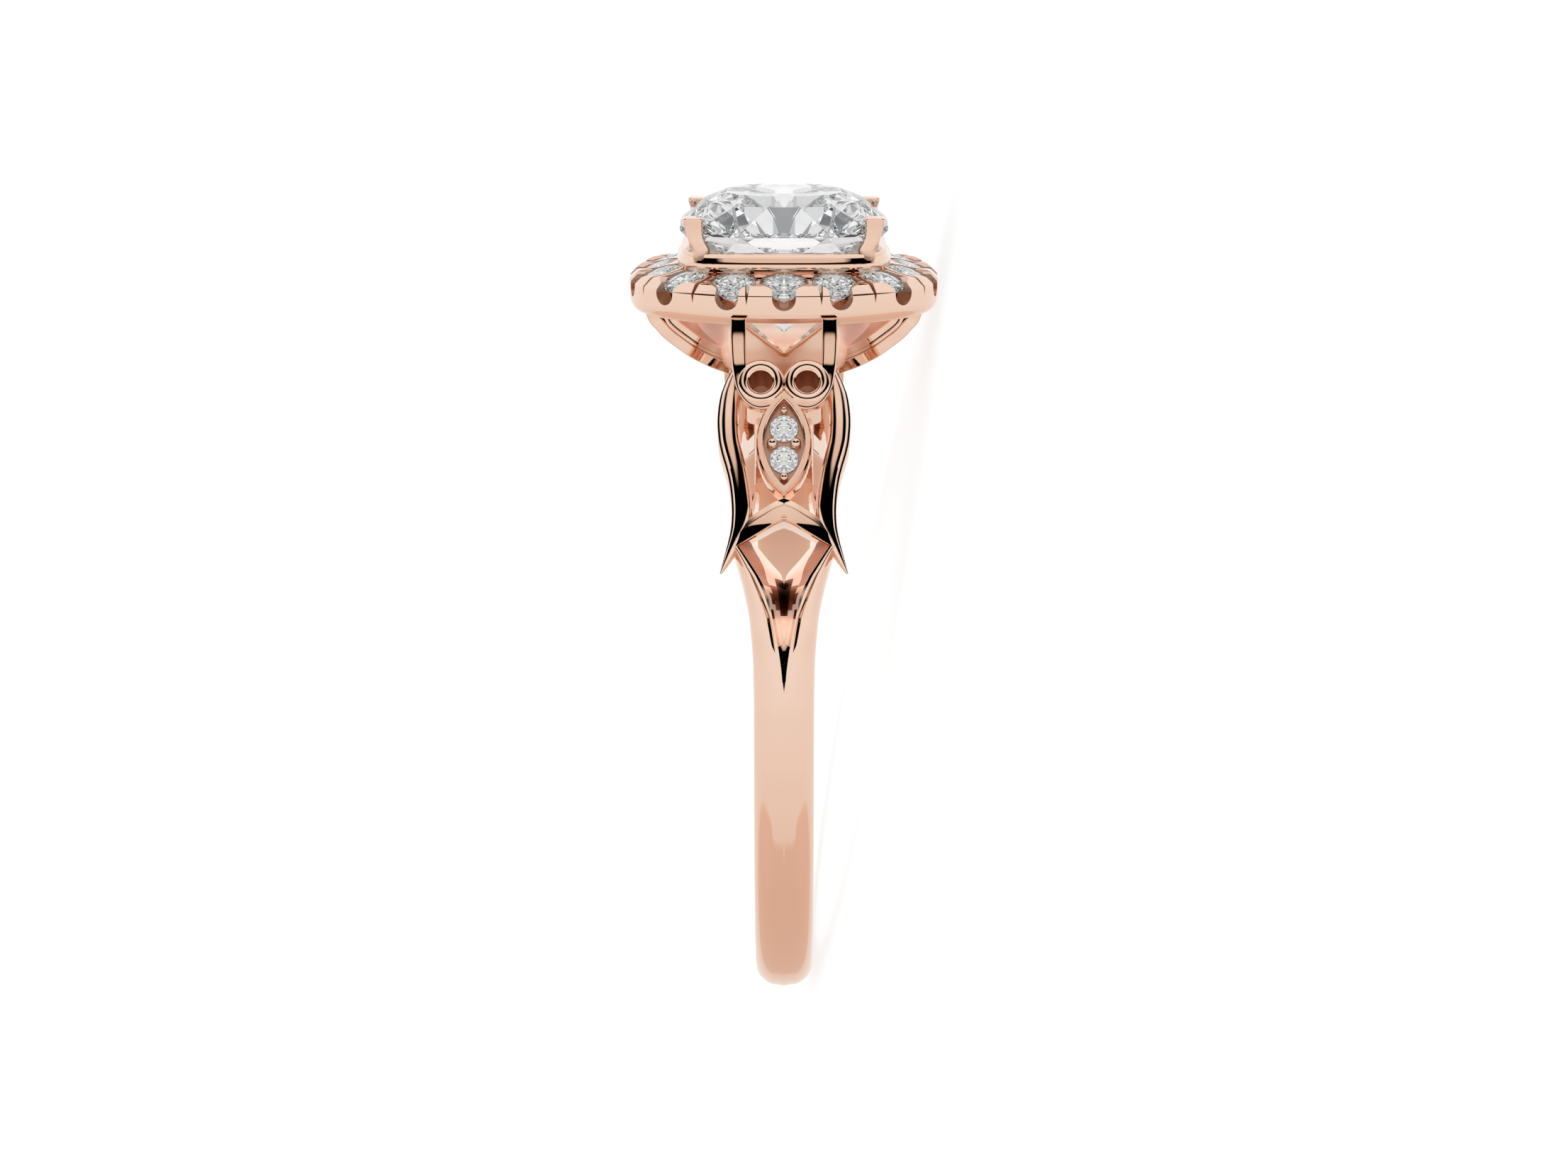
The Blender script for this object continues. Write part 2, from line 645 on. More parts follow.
# %% Tools for trees that set a shape on points
def new_tree(name, **inputs):
    """A tree that takes and gives a geometry, with more inputs as name=kind, and its two ends."""
    tree = bpy.data.node_groups.new(name, "GeometryNodeTree")
    tree.interface.new_socket("Geometry", in_out="INPUT", socket_type="NodeSocketGeometry")
    for key, kind in inputs.items():
        tree.interface.new_socket(key, in_out="INPUT", socket_type="NodeSocket" + kind)
    tree.interface.new_socket("Geometry", in_out="OUTPUT", socket_type="NodeSocketGeometry")
    return tree, tree.nodes.new("NodeGroupInput").outputs, tree.nodes.new("NodeGroupOutput").inputs


def point_value(tree, name, kind="FLOAT"):
    """The value that each point carries under a name."""
    node = tree.nodes.new("GeometryNodeInputNamedAttribute")
    node.data_type = kind
    node.inputs["Name"].default_value = name
    return node.outputs["Attribute"]


def point_turn(tree):
    """The rotation that each point carries as "turn"."""
    node = tree.nodes.new("FunctionNodeEulerToRotation")
    feed(node.inputs["Euler"], point_value(tree, "turn", "FLOAT_VECTOR"))
    return node.outputs["Rotation"]


def shape_of(tree, thing):
    """The geometry of an object that is one of the tree's inputs."""
    node = tree.nodes.new("GeometryNodeObjectInfo")
    feed(node.inputs["Object"], thing)
    return node.outputs["Geometry"]


def set_on_points(tree, points, shape, **ways):
    """A real copy of a shape on each point, with its Scale or Rotation as ways."""
    put = tree.nodes.new("GeometryNodeInstanceOnPoints")
    real = tree.nodes.new("GeometryNodeRealizeInstances")
    for key, value in dict(Points=points, Instance=shape, **ways).items():
        feed(put.inputs[key], value)
    feed(real.inputs["Geometry"], put.outputs["Instances"])
    return real.outputs["Geometry"]


def finish_tree(tree, geometry, material, end):
    """Give the geometry its material and lead it out of the tree."""
    coat = tree.nodes.new("GeometryNodeSetMaterial")
    feed(coat.inputs["Geometry"], geometry)
    feed(coat.inputs["Material"], material)
    feed(end["Geometry"], coat.outputs["Geometry"])
    return tree


def with_tree(mesh, tree, **inputs):
    """mesh run through a tree, as a plain mesh. Inputs are given by their shown names."""
    obj = in_scene("tree_input", mesh)
    mod = obj.modifiers.new("tree", "NODES")
    mod.node_group = tree
    for item in tree.interface.items_tree:
        if item.in_out == "INPUT" and item.name in inputs:
            mod[item.identifier] = inputs[item.name]
    return evaluated(obj, mesh.name)


print("tools for trees are ready")

# %% [markdown]
# Beads are raised with a graver from the metal round the stones, to hold them. A ball on each of a
# list of points is enough, because only its top stands out of the rim. The points carry the radii,
# so one tree makes beads of every size.

# %% Beads on the marquise frames and the chevrons
# across the marquise, along it, radius
BEADS = [(0, 1.13, 0.12), (0.37, 0, 0.175), (-0.37, 0, 0.175), (0, -1.15, 0.145)]
CHEVRON_BEAD_Z = 7.80
CHEVRON_BEAD_R = 0.085


def bead_tree():
    tree, start, end = new_tree("beads_on_points", Segments="Int", Metal="Material")
    ball = tree.nodes.new("GeometryNodeMeshUVSphere")
    ball.inputs["Radius"].default_value = 1.0
    for count in ("Segments", "Rings"):
        feed(ball.inputs[count], start["Segments"])
    size = point_value(tree, "bead_radius")
    balls = set_on_points(tree, start["Geometry"], ball.outputs["Mesh"], Scale=size)
    return finish_tree(tree, balls, start["Metal"], end)


def bead_points():
    spots, radii = [], []
    for s in (1, -1):
        for x, y, r in BEADS:
            p = MARQUISE_MID + x * np.array([1, 0, 0]) + y * ALONG + 0.02 * OUT
            spots.append(p * [1, s, 1])
            radii.append(r)
        spots.append((side(CHEVRON_BEAD_Z)[0] + [0, -0.02, 0]) * [1, s, 1])
        radii.append(CHEVRON_BEAD_R)
    mesh = bpy.data.meshes.new("beads")
    mesh.from_pydata(spots, [], [])
    mesh.attributes.new("bead_radius", "FLOAT", "POINT").data.foreach_set("value", radii)
    return mesh


piece("beads", with_tree(bead_points(), bead_tree(), Segments=24, Metal=GOLD), GOLD, crease=60)

# %% [markdown]
# Two scrolls hang from the halo on each shoulder: a flat-faced wire that comes down from the halo
# and curls up into a small round ring, and the two rings touch above the marquise. The wire grows
# thinner and changes its direction, so it is skinned from a table. The ring is a plain torus, drawn
# in the same plane, so the two run into each other.

# %% Scroll stems and rings
SCROLL_TOP = np.array([0, -5.05, 13.55])
SCROLL_DOWN = np.array([0, -0.543, -0.840])
# distance from the middle, distance down from the halo, half width, half thickness, how far it
# stands out
STEM_ROWS = [(1.455, -0.20, 0.25, 0.20, 0.161), (1.455, 0.00, 0.25, 0.20, 0.121),
             (1.455, 0.25, 0.25, 0.20, 0.071), (1.455, 0.50, 0.25, 0.20, 0.0285),
             (1.455, 0.75, 0.245, 0.20, 0.006), (1.45, 0.95, 0.24, 0.20, 0.0),
             (1.44, 1.30, 0.235, 0.20, 0.0), (1.42, 1.65, 0.232, 0.20, -0.005),
             (1.38, 1.98, 0.228, 0.20, -0.045), (1.29, 2.42, 0.22, 0.20, -0.07),
             (1.08, 2.80, 0.205, 0.20, -0.06), (0.80, 2.99, 0.20, 0.195, -0.03),
             (0.52, 2.98, 0.18, 0.18, 0.0), (0.30, 2.80, 0.15, 0.16, 0.0)]
STEM_TOP = 13.56
# turns round a stem's section in degrees, closer together at its four corners
STEM_TURN = np.radians([quarter + a for quarter in (0, 90, 180, 270)
                        for a in (0, 12, 24, 32, 37, 40, 42, 44, 46, 48, 50, 53, 58, 66, 78)])
RING_MID = (0.735, 2.24)
RING_R = 0.58
RING_WIRE_R = 0.2
RING_TURN = np.radians(np.arange(0, 360, 7.5))
# radius, how far it stands out: the tube's outside, bottom and inside
TUBE_ROWS = [(0.50, -0.1), (0.50, -1.25), (0.02, -1.25), (0.02, -1.2), (0.375, -1.15), (0.375, 0.0),
             (0.39, 0.10), (0.44, 0.13)]


def on_scroll(x, down, out=0.0):
    return SCROLL_TOP + np.array([x, 0, 0]) + SCROLL_DOWN * down + OUT * out


def stem():
    rows = curve(STEM_ROWS, 6)
    k = (np.abs(np.cos(STEM_TURN)) ** 6 + np.abs(np.sin(STEM_TURN)) ** 6) ** (-1 / 6)
    outline = list(zip(k * np.cos(STEM_TURN), k * np.sin(STEM_TURN)))
    rings = []
    for i, (x, d, w, t, out) in enumerate(rows):
        a, b = rows[max(i - 1, 0)], rows[min(i + 1, len(rows) - 1)]
        run = on_scroll(b[0], b[1], b[4]) - on_scroll(a[0], a[1], a[4])
        across = np.cross(run, OUT)
        across /= np.linalg.norm(across)
        front = np.cross(across, run)
        front /= np.linalg.norm(front)
        ring = np.array([on_scroll(x, d, out) + across * w * c + front * t * e for c, e in outline])
        ring[:, 2] = np.minimum(ring[:, 2], STEM_TOP)
        rings.append(ring)
    return skin(rings)


def on_ring(r, a, out):
    """Point at a radius and a turn round the middle of a scroll's ring."""
    return on_scroll(RING_MID[0] + r * math.cos(a), RING_MID[1] + r * math.sin(a), out)


def scroll_ring():
    wire = [(RING_R + RING_WIRE_R * math.cos(k), RING_WIRE_R * math.sin(k))
            for k in np.radians(np.arange(0, 360, 18))]
    return skin([[on_ring(r, a, out) for r, out in wire] for a in RING_TURN], along=True)


def scroll_tube():
    """The deep hole in a scroll's ring."""
    return skin([[on_ring(r, a, out) for a in RING_TURN] for r, out in TUBE_ROWS], along=True)


def in_tube(p):
    """Half copper brown in the hole of a scroll's ring."""
    q = np.array([abs(p.x), -abs(p.y), p.z]) - on_scroll(*RING_MID)
    return HALF_BROWN if math.hypot(q[0], q @ SCROLL_DOWN) < 0.385 and q @ OUT < 0.02 else 0.0


scrolls = mesh_of("scrolls", four(stem()) + four(scroll_ring()) + four(scroll_tube()))
piece("scrolls", mark_recess(scrolls, in_tube), GOLD, crease=35)

# %% [markdown]
# Between the shoulders a bowl holds the stone's point. It is turned, and then cut down in a V on
# each shoulder side, so the stone's point shows. A lathe and a file would make it in the same two
# steps. A raised lip runs along each cut, and it is skinned on the line where the V meets the bowl.

# %% Bowl with its V cuts
# radius, height z
BOWL_OUT = [(1.25, 9.30), (1.28, 10.30), (1.52, 10.78), (1.95, 11.10), (2.56, 11.50), (2.85, 12.05),
            (2.90, 12.45), (2.87, 12.80), (2.80, 13.02), (2.95, 13.20), (2.95, 13.50)]
BOWL_IN = [(2.45, 13.50), (2.52, 12.90), (2.50, 12.40), (2.25, 11.95), (1.70, 11.66), (0.60, 11.52)]
V_APEX = 12.08
V_RISE = 0.70
V_TOP = 13.03
V_SLANT = math.hypot(V_RISE, 1)
# distance out from the bowl, depth below the cut's edge
LIP_ROWS = [(-0.42, 0.0), (-0.03, -0.012), (0.0, 0.012), (-0.01, 0.04), (-0.14, 0.24), (-0.42, 0.24)]


def bowl_radius(z, rows=BOWL_OUT):
    """Outside radius of the bowl at a height."""
    return float(np.interp(z, [row[1] for row in rows], [row[0] for row in rows]))


def bowl_mesh():
    profile = np.vstack([curve(BOWL_OUT[:9], 5), BOWL_OUT[9:], curve(BOWL_IN, 4)])
    rings = [[(r * math.cos(a), r * math.sin(a), z) for r, z in profile]
             for a in np.radians(np.arange(0, 360, 3.75))]
    body = mesh_of("bowl", [skin(rings, along=True)])
    half = (V_TOP - V_APEX) / V_RISE
    wedge = [[(-half, y, V_TOP), (0, y, V_APEX), (half, y, V_TOP)] for y in (-6, 6)]
    return cut(body, mesh_of("wedge", [skin(wedge)]))


def v_lip():
    """The raised edge of a V cut, overhanging below."""
    rings = []
    for x in np.linspace(0, 1.42, 24):
        r = bowl_radius(V_APEX + V_RISE * x, BOWL_OUT[3:9]) + 0.06
        p = np.array([x, -math.sqrt(r * r - x * x), V_APEX + V_RISE * x])
        out = np.array([p[0], p[1], 0]) / r
        down = np.array([V_RISE, 0, -1]) / V_SLANT
        rings.append([p + out * o + down * d for o, d in LIP_ROWS])
    rings[0] = [q * [0, 1, 1] for q in rings[0]]
    return skin(rings)


def under_lip(p):
    """Copper brown on the lip's under side."""
    below = (V_APEX + V_RISE * abs(p.x) - p.z) / V_SLANT
    return BROWN if below > 0.05 else 0.0


def in_bowl(p):
    """Lit satin on the inner wall and the sides under the arches, plain satin between the stems."""
    above_floor = p.z > 11.4
    if above_floor and math.hypot(p.x, p.y) < bowl_radius(p.z) - 0.12:
        return LIT
    under_arch = np.clip((abs(p.x) - 1.4) / 0.5, 0, 1) * np.clip((p.z - 11.4) / 0.5, 0, 1)
    return SATIN + (FAINTLY_LIT - SATIN) * float(under_arch)


lips = mesh_of("bowl_lips", four(v_lip()), drop="x")
piece("bowl_lips", mark_recess(lips, under_lip), GOLD, crease=28)
piece("bowl", mark_recess(bowl_mesh(), in_bowl), GOLD, crease=28)

# %% [markdown]
# Arches run from the sides of the halo down to the bowl, each with two thin ribs behind its broad
# outer face and a groove before each of them. The grooves are too narrow to be polished, so a strip
# of nearly black metal lies on their floors. A web in the middle plane closes the arch. Face, ribs
# and grooves are one outline that runs along the arch, because separate bars would drift apart.

# %% Side arches
# distance from the middle, height z and half breadth of the outer face, how far its middle bows out
ARCH_ROWS = [(4.51, 13.50, 2.65, 0.32), (4.46, 13.22, 2.62, 0.26), (4.35, 12.99, 2.60, 0.20),
             (4.18, 12.80, 2.60, 0.15), (3.95, 12.54, 2.58, 0.10), (3.63, 12.27, 2.52, 0.05),
             (3.11, 11.88, 2.45, 0.0), (2.65, 11.60, 2.25, 0.0), (2.32, 11.39, 1.9, 0.0),
             (1.90, 11.13, 1.3, 0.0), (1.30, 10.85, 0.9, 0.0)]
ARCH_OPEN_ROWS = ARCH_ROWS[:7]
# height z, width of the groove behind the outer face
GROOVE_ROWS = [(11.0, 0.0), (12.72, 0.0), (12.9, 0.07), (13.2, 0.20), (13.5, 0.30)]
# in from the outer face, back from the front edge, and share of the groove's width to add to the first
ARCH_FRONT = [(0.0, 0.03, 0), (0.03, 0.0, 0), (0.34, 0.0, 0), (0.37, 0.03, 0), (0.37, 0.14, 0),
              (0.37, 0.14, 1), (0.38, 0.04, 1), (0.40, 0.02, 1), (0.47, 0.02, 1), (0.49, 0.04, 1),
              (0.49, 0.12, 1), (0.53, 0.12, 1), (0.54, 0.05, 1), (0.72, 0.05, 1), (0.76, 0.10, 1)]
WEB_HALF = 0.04
# both grooves' floors: from and to, in from the outer face, and share of the groove's width in the first
GROOVE_FLOORS = [(0.375, 0.37, 0), (0.495, 0.53, 1)]


def arch_ring(rows, i, outline):
    """An arch's section at row i. The outline holds distances in from the outer face, and places y."""
    x, z, w, bow = rows[i]
    a, b = rows[max(i - 1, 0)], rows[min(i + 1, len(rows) - 1)]
    d = (b[:2] - a[:2]) / np.linalg.norm(b[:2] - a[:2])
    n = np.array([d[1], -d[0]])
    return [(x + bow * (1 - (y / w) ** 2) + n[0] * t, y, z + n[1] * t) for t, y in outline]


def arch():
    rows = curve(ARCH_ROWS, 5)
    rings = []
    for i, (_, z, w, _) in enumerate(rows):
        g = at(GROOVE_ROWS, z)[0]
        front = [(t + g * k, back - w) for t, back, k in ARCH_FRONT]
        back = [(t, -y) for t, y in reversed(front)]
        breadth = np.linspace(-1, 1, 13)[1:-1] * (w - 0.15)
        outer, inner = [(0.0, y) for y in breadth[::-1]], [(0.77 + g, y) for y in breadth]
        rings.append(arch_ring(rows, i, front + inner + back + outer))
    return skin(rings)


def groove_floor(t0, t1, share):
    """The black floor of one of an arch's grooves, near its front edge."""
    rows = curve(ARCH_OPEN_ROWS, 5)
    rings = []
    for i, (_, z, w, _) in enumerate(rows):
        g = at(GROOVE_ROWS, z)[0]
        a = t0 + g * share
        b = max(t1 + g, a + 0.001)
        y = -w + 0.10
        rings.append(arch_ring(rows, i, [(a, y), (b, y), (b, y + 0.02), (a, y + 0.02)]))
    return skin(rings)


def web():
    """A thin wall in the middle plane that closes the gap between an arch and the bowl."""
    rings = []
    for x, z, _, _ in curve(ARCH_OPEN_ROWS, 5):
        far, near = x - 0.3, bowl_radius(z) - 0.06
        rings.append([(far, -WEB_HALF, z), (near, -WEB_HALF, z), (near, WEB_HALF, z), (far, WEB_HALF, z)])
    return skin(rings)


def in_arch(p):
    """Satin on an arch's inner face."""
    x = float(np.interp(p.z, [row[1] for row in ARCH_ROWS[::-1]], [row[0] for row in ARCH_ROWS[::-1]]))
    return SATIN if x - abs(p.x) > 0.6 and abs(p.y) < 2.4 else 0.0


arches = mesh_of("side_arches", [arch(), mirror(arch(), "x")])
piece("side_arches", mark_recess(arches, in_arch), GOLD, crease=28)
webs = mesh_of("arch_webs", [web(), mirror(web(), "x")])
piece("arch_webs", mark_recess(webs, lambda p: LIT), GOLD, crease=28)
floors = mesh_of("arch_grooves", [part for row in GROOVE_FLOORS for part in four(groove_floor(*row))])
piece("arch_grooves", mark_recess(floors, lambda p: BLACK), GOLD, crease=28)

# %% [markdown]
# The halo is a soft square of sixteen stones. Its outline could be drawn freehand, but worked out
# from the bow of its sides and the radius of its corners it is the same on every side. The places
# of the stones are measured along it, and the halo's section will be swept round it.

# %% Outline of the halo
HALO_ROW = 4.2
HALO_SIDE_R = 10.0
HALO_CORNER_R = 3.2
HALO_PITCH = 1.64
HALO_SLOPE = math.radians(20)
HALO_GIRDLE = 14.49
HALO_STONE_R = 0.75
# a side's arc has its centre this far beyond the middle, and a corner's arc has it at CORNER_C
SIDE_C = HALO_SIDE_R - HALO_ROW
RADII_APART = HALO_SIDE_R - HALO_CORNER_R
CORNER_C = (-SIDE_C + math.sqrt(2 * RADII_APART * RADII_APART - SIDE_C * SIDE_C)) / 2
SIDE_TURN = math.atan(CORNER_C / (CORNER_C + SIDE_C))


def halo_outline(angle, out):
    """Point of the halo's outline where its normal points along angle, at a distance out from the row."""
    quarter = math.floor((angle + math.pi / 4) / (math.pi / 2)) * math.pi / 2
    a = angle - quarter
    if abs(a) <= SIDE_TURN:
        p = (-SIDE_C + (HALO_SIDE_R + out) * math.cos(a), (HALO_SIDE_R + out) * math.sin(a))
    else:
        p = (CORNER_C + (HALO_CORNER_R + out) * math.cos(a),
             math.copysign(CORNER_C, a) + (HALO_CORNER_R + out) * math.sin(a))
    c, s = math.cos(quarter), math.sin(quarter)
    return np.array([p[0] * c - p[1] * s, p[0] * s + p[1] * c])


next_turn = SIDE_TURN + (HALO_PITCH - HALO_SIDE_R * SIDE_TURN) / HALO_CORNER_R
SPOTS = [q * math.pi / 2 + a - math.pi / 2 for q in range(4)
         for a in (0, next_turn, math.pi / 4, math.pi / 2 - next_turn)]
BETWEEN = [(a + b) / 2 for a, b in zip(SPOTS, SPOTS[1:] + [SPOTS[0] + 2 * math.pi])]
print("halo stones at", [round(math.degrees(a)) for a in SPOTS])

# %% [markdown]
# The halo's wall stands upright. Its lower edge is well rounded, its upper edge a little, and from
# there the top slopes up and inwards, past the stones to the rail under the centre stone.

# %% Halo band before it is cut
HALO_BOTTOM = 13.30
HALO_WALL = 0.95
HALO_ROUND = (0.30, 0.40)
# out from the row of stones, height z: the rounded lower edge, the upper edge and the top
ROUND = [(HALO_WALL - HALO_ROUND[0] * (1 - math.sin(a)), HALO_BOTTOM + HALO_ROUND[1] * (1 - math.cos(a)))
         for a in np.linspace(0, math.pi / 2, 11)]
UPPER_EDGE = [(0.83 + 0.12 * math.cos(a), 14.20 + 0.12 * math.sin(a))
              for a in np.radians(np.linspace(0, 46, 8))]
HALO_TOP = UPPER_EDGE + [(0.70, 14.49), (0.65, 14.53), (0.57, 14.56), (0.30, 14.59), (0.0, 14.63),
                         (-0.40, 14.73), (-0.75, 14.80)]
HALO_SECTION = [(-0.75, HALO_BOTTOM)] + ROUND + HALO_TOP


def halo_band():
    angles = []
    for q in range(4):
        angles += [q * math.pi / 2 + t for t in np.linspace(-SIDE_TURN, SIDE_TURN, 13)]
        angles += [q * math.pi / 2 + t for t in np.linspace(SIDE_TURN, math.pi / 2 - SIDE_TURN, 22)[1:-1]]
    rings = [[(*halo_outline(a, out), z) for out, z in HALO_SECTION] for a in angles]
    return mesh_of("halo", [skin(rings, along=True)])


print("halo: wall", HALO_WALL, "mm out from the stones, lower edge at a height of", HALO_BOTTOM, "mm")

# %% [markdown]
# Each halo stone sits in a cone with a step for its girdle, and a U-shaped notch opens the wall in
# front of it. Between neighbours a thin V is sawn. The cone, the notch and the room behind the
# stone's crown could be cut one after the other. They are joined in one cutter, which is quicker.

# %% Cutters for the seats, the notches and the sawn V
AROUND = np.linspace(0, 2 * math.pi, 48, endpoint=False)


def turned(rows):
    """A turned form. Rows are radius and height."""
    return skin([[(r * math.cos(a), r * math.sin(a), z) for a in AROUND] for r, z in rows])


SEAT_R = 0.765
# radius, height over the girdle
SEAT_ROWS = [(0.50, -0.80), (0.56, -0.74), (0.60, -0.22), (SEAT_R, -0.05), (SEAT_R, 0.01), (0.45, 0.27)]
NOTCH_R = 0.38
NOTCH_MID = -0.32
# half of the notch's outline, from its straight side up over the rounded prong: across, height
PRONG_ROWS = [(NOTCH_R, -0.07), (0.395, -0.035), (0.425, -0.01), (0.486, 0.015), (0.55, 0.035),
              (0.62, 0.055), (0.70, 0.07), (0.80, 0.082), (0.80, 1.2)]


def seat_cutter():
    """The seat and notch of one stone, with its girdle at the origin and +x out of the ring."""
    hollow = mesh_of("seat", [turned(SEAT_ROWS)])
    behind = [[(min(SEAT_R * math.cos(a), 0.12), SEAT_R * math.sin(a), z) for a in AROUND]
              for z in (-0.03, 0.6)]
    arc = [(NOTCH_R * math.sin(a), NOTCH_MID - NOTCH_R * math.cos(a))
           for a in np.linspace(-math.pi / 2, math.pi / 2, 21)]
    u = [(-y, z) for y, z in reversed(PRONG_ROWS)] + arc + PRONG_ROWS
    c, s = math.cos(HALO_SLOPE), math.sin(HALO_SLOPE)
    rings = [[(x * c - z * s, y, x * s + z * c) for y, z in u] for x in (0.10, 1.6)]
    notch = mesh_of("notch", [skin(rings)])
    return cut(cut(hollow, notch, "UNION"), mesh_of("behind", [skin(behind)]), "UNION")


def groove_cutter():
    """The thin V between two stones, deepest at the wall."""
    rows = [(-1.3, 0.09, 0.05), (0.0, 0.14, -0.29), (0.95, 0.175, -0.54), (1.25, 0.18, -0.62)]
    rings = [[(x, -w, 0.6), (x, 0, z), (x, w, 0.6)] for x, w, z in rows]
    return mesh_of("groove", [skin(rings)])


print("cutters: seat radius", SEAT_R, "mm, notch radius", NOTCH_R, "mm")

# %% [markdown]
# All sixteen seats are alike, and all sixteen grooves, so a tree puts the cutter on points round
# the outline and takes it away from the swept band in one go. Over the scrolls' stems the lower edge
# is cut away, so the stems run up into the halo.

# %% Halo
def cutting_tree():
    tree, start, end = new_tree("cut_along_points", Body="Object", Cutter="Object", Metal="Material")
    cutter = shape_of(tree, start["Cutter"])
    cutters = set_on_points(tree, start["Geometry"], cutter, Rotation=point_turn(tree))
    take = tree.nodes.new("GeometryNodeMeshBoolean")
    take.operation = "DIFFERENCE"
    take.solver = "EXACT"
    feed(take.inputs["Mesh 1"], shape_of(tree, start["Body"]))
    feed(take.inputs["Mesh 2"], cutters)
    return finish_tree(tree, take.outputs["Mesh"], start["Metal"], end)


def halo_points(name, angles, slope, height):
    """Points on the halo's outline that carry the turn of what is set on them."""
    mesh = bpy.data.meshes.new(name)
    mesh.from_pydata([(*halo_outline(a, 0), height) for a in angles], [], [])
    turns = [v for a in angles for v in (0.0, slope, a)]
    mesh.attributes.new("turn", "FLOAT_VECTOR", "POINT").data.foreach_set("vector", turns)
    return mesh


def cut_along(body, cutter, angles, slope, height, tree):
    """body with a cutter taken away at each of the halo's angles."""
    things = in_scene("body", body), in_scene("cutter", cutter)
    points = halo_points(body.name, angles, slope, height)
    mesh = with_tree(points, tree, Body=things[0], Cutter=things[1], Metal=GOLD)
    for thing in things:
        bpy.data.objects.remove(thing)
    return mesh


GROOVE_HEIGHT = 14.50
# the room cut for the stems: half width, heights from and to, and places y from and to on each side
STEM_GAP_X = 1.74
STEM_GAP_Z = (12.94, 13.54)
STEM_GAP_Y = ((-6.7, -3.3), (3.3, 6.7))

CUT = cutting_tree()
halo = cut_along(halo_band(), seat_cutter(), SPOTS, HALO_SLOPE, HALO_GIRDLE, CUT)
halo = cut_along(halo, groove_cutter(), BETWEEN, 0.0, GROOVE_HEIGHT, CUT)
for y0, y1 in STEM_GAP_Y:
    low, high = STEM_GAP_Z
    gap = [[(x, y0, low), (x, y1, low), (x, y1, high), (x, y0, high)] for x in (-STEM_GAP_X, STEM_GAP_X)]
    halo = cut(halo, mesh_of("stem_gap", [skin(gap)]))


HALO_TINGED_FROM = 14.22


def halo_out(x, y):
    """Distance out from the row of stones, the reverse of halo_outline."""
    x, y = max(abs(x), abs(y)), min(abs(x), abs(y))
    if math.atan2(y, x + SIDE_C) <= SIDE_TURN:
        return math.hypot(x + SIDE_C, y) - HALO_SIDE_R
    return math.hypot(x - CORNER_C, y - CORNER_C) - HALO_CORNER_R


def in_halo_cut(p):
    """Copper brown below the band's own skin, and only tinged high up by the stones."""
    out = halo_out(p.x, p.y)
    top = np.interp(out, [o for o, _ in HALO_TOP[::-1]], [z for _, z in HALO_TOP[::-1]])
    if out >= HALO_WALL - 0.015 or p.z <= HALO_BOTTOM + 0.45 or p.z >= top - 0.015:
        return 0.0
    return BROWN if p.z < HALO_TINGED_FROM else TINGED


piece("halo", mark_recess(halo, in_halo_cut), GOLD, crease=15)

# %% [markdown]
# The centre stone rests on a rail shaped as a soft square, with a dark groove between its thin
# upper edge and its lower bulge. It is squarer at its top than at its foot, so each ring of its
# skin has a squareness of its own. The halo stones tuck under it, so room is cut for their crowns.

# %% Head rail
def soft_square(half, power, count):
    """An outline from a circle, at power 2, to nearly a square."""
    a = np.radians(360 * (np.arange(count) + 0.5) / count)
    r = half * (np.abs(np.cos(a)) ** power + np.abs(np.sin(a)) ** power) ** (-1 / power)
    return np.stack([r * np.cos(a), r * np.sin(a)], 1)


# half width, height z, squareness: the outside, the bulge, the groove, the thin edge and the inside
BULGE = [(3.34 + 0.20 * math.cos(a), 14.995 + 0.27 * math.sin(a), 4.2)
         for a in np.radians(np.arange(-62, 11, 8))]
RAIL_SECTION = [(2.55, 13.46, 3.2), (3.38, 13.46, 3.6), (3.39, 14.20, 3.8), (3.39, 14.73, 4.0)] + BULGE + [
    (3.495, 15.055, 4.3), (3.482, 15.09, 4.3), (3.455, 15.135, 4.4), (3.428, 15.18, 4.4),
    (3.40, 15.228, 4.4), (3.40, 15.236, 4.4), (3.41, 15.245, 4.4),
    (3.41, 15.30, 4.4), (3.405, 15.345, 4.4), (3.385, 15.37, 4.4), (3.35, 15.385, 4.4),
    (3.12, 15.385, 4.4), (3.08, 15.34, 4.3), (3.04, 14.0, 4.0), (2.42, 13.9, 2.4)]


def head_rail():
    rings = []
    for half, z, power in RAIL_SECTION:
        xy = soft_square(half, power, 160)
        rings.append(np.column_stack([xy, np.full(len(xy), z)]))
    return skin(rings, along=True)


# radius, height: room for the part of each halo stone that tucks under the rail
CROWN_ROOM_ROWS = [(0.12, -0.80), (SEAT_R, -0.06), (SEAT_R, 0.01), (0.45, 0.15), (0.02, 0.15)]
crown_room = mesh_of("crown_room", [turned(CROWN_ROOM_ROWS)])
whole_rail = mesh_of("head_rail", [head_rail()])
rail_mesh = cut_along(whole_rail, crown_room, SPOTS, HALO_SLOPE, HALO_GIRDLE, CUT)
piece("head_rail", rail_mesh, GOLD, crease=13)

# %% [markdown]
# Four claws rise from the rail's corners and hold the stone. They are filed flat outside and on
# top, round at the foot and broadest at the tip. A bent rod would have the same section all the way
# up, so a soft square is skinned instead, and its size and squareness change with the height.

# %% Claws
CLAW_MID = 2.94
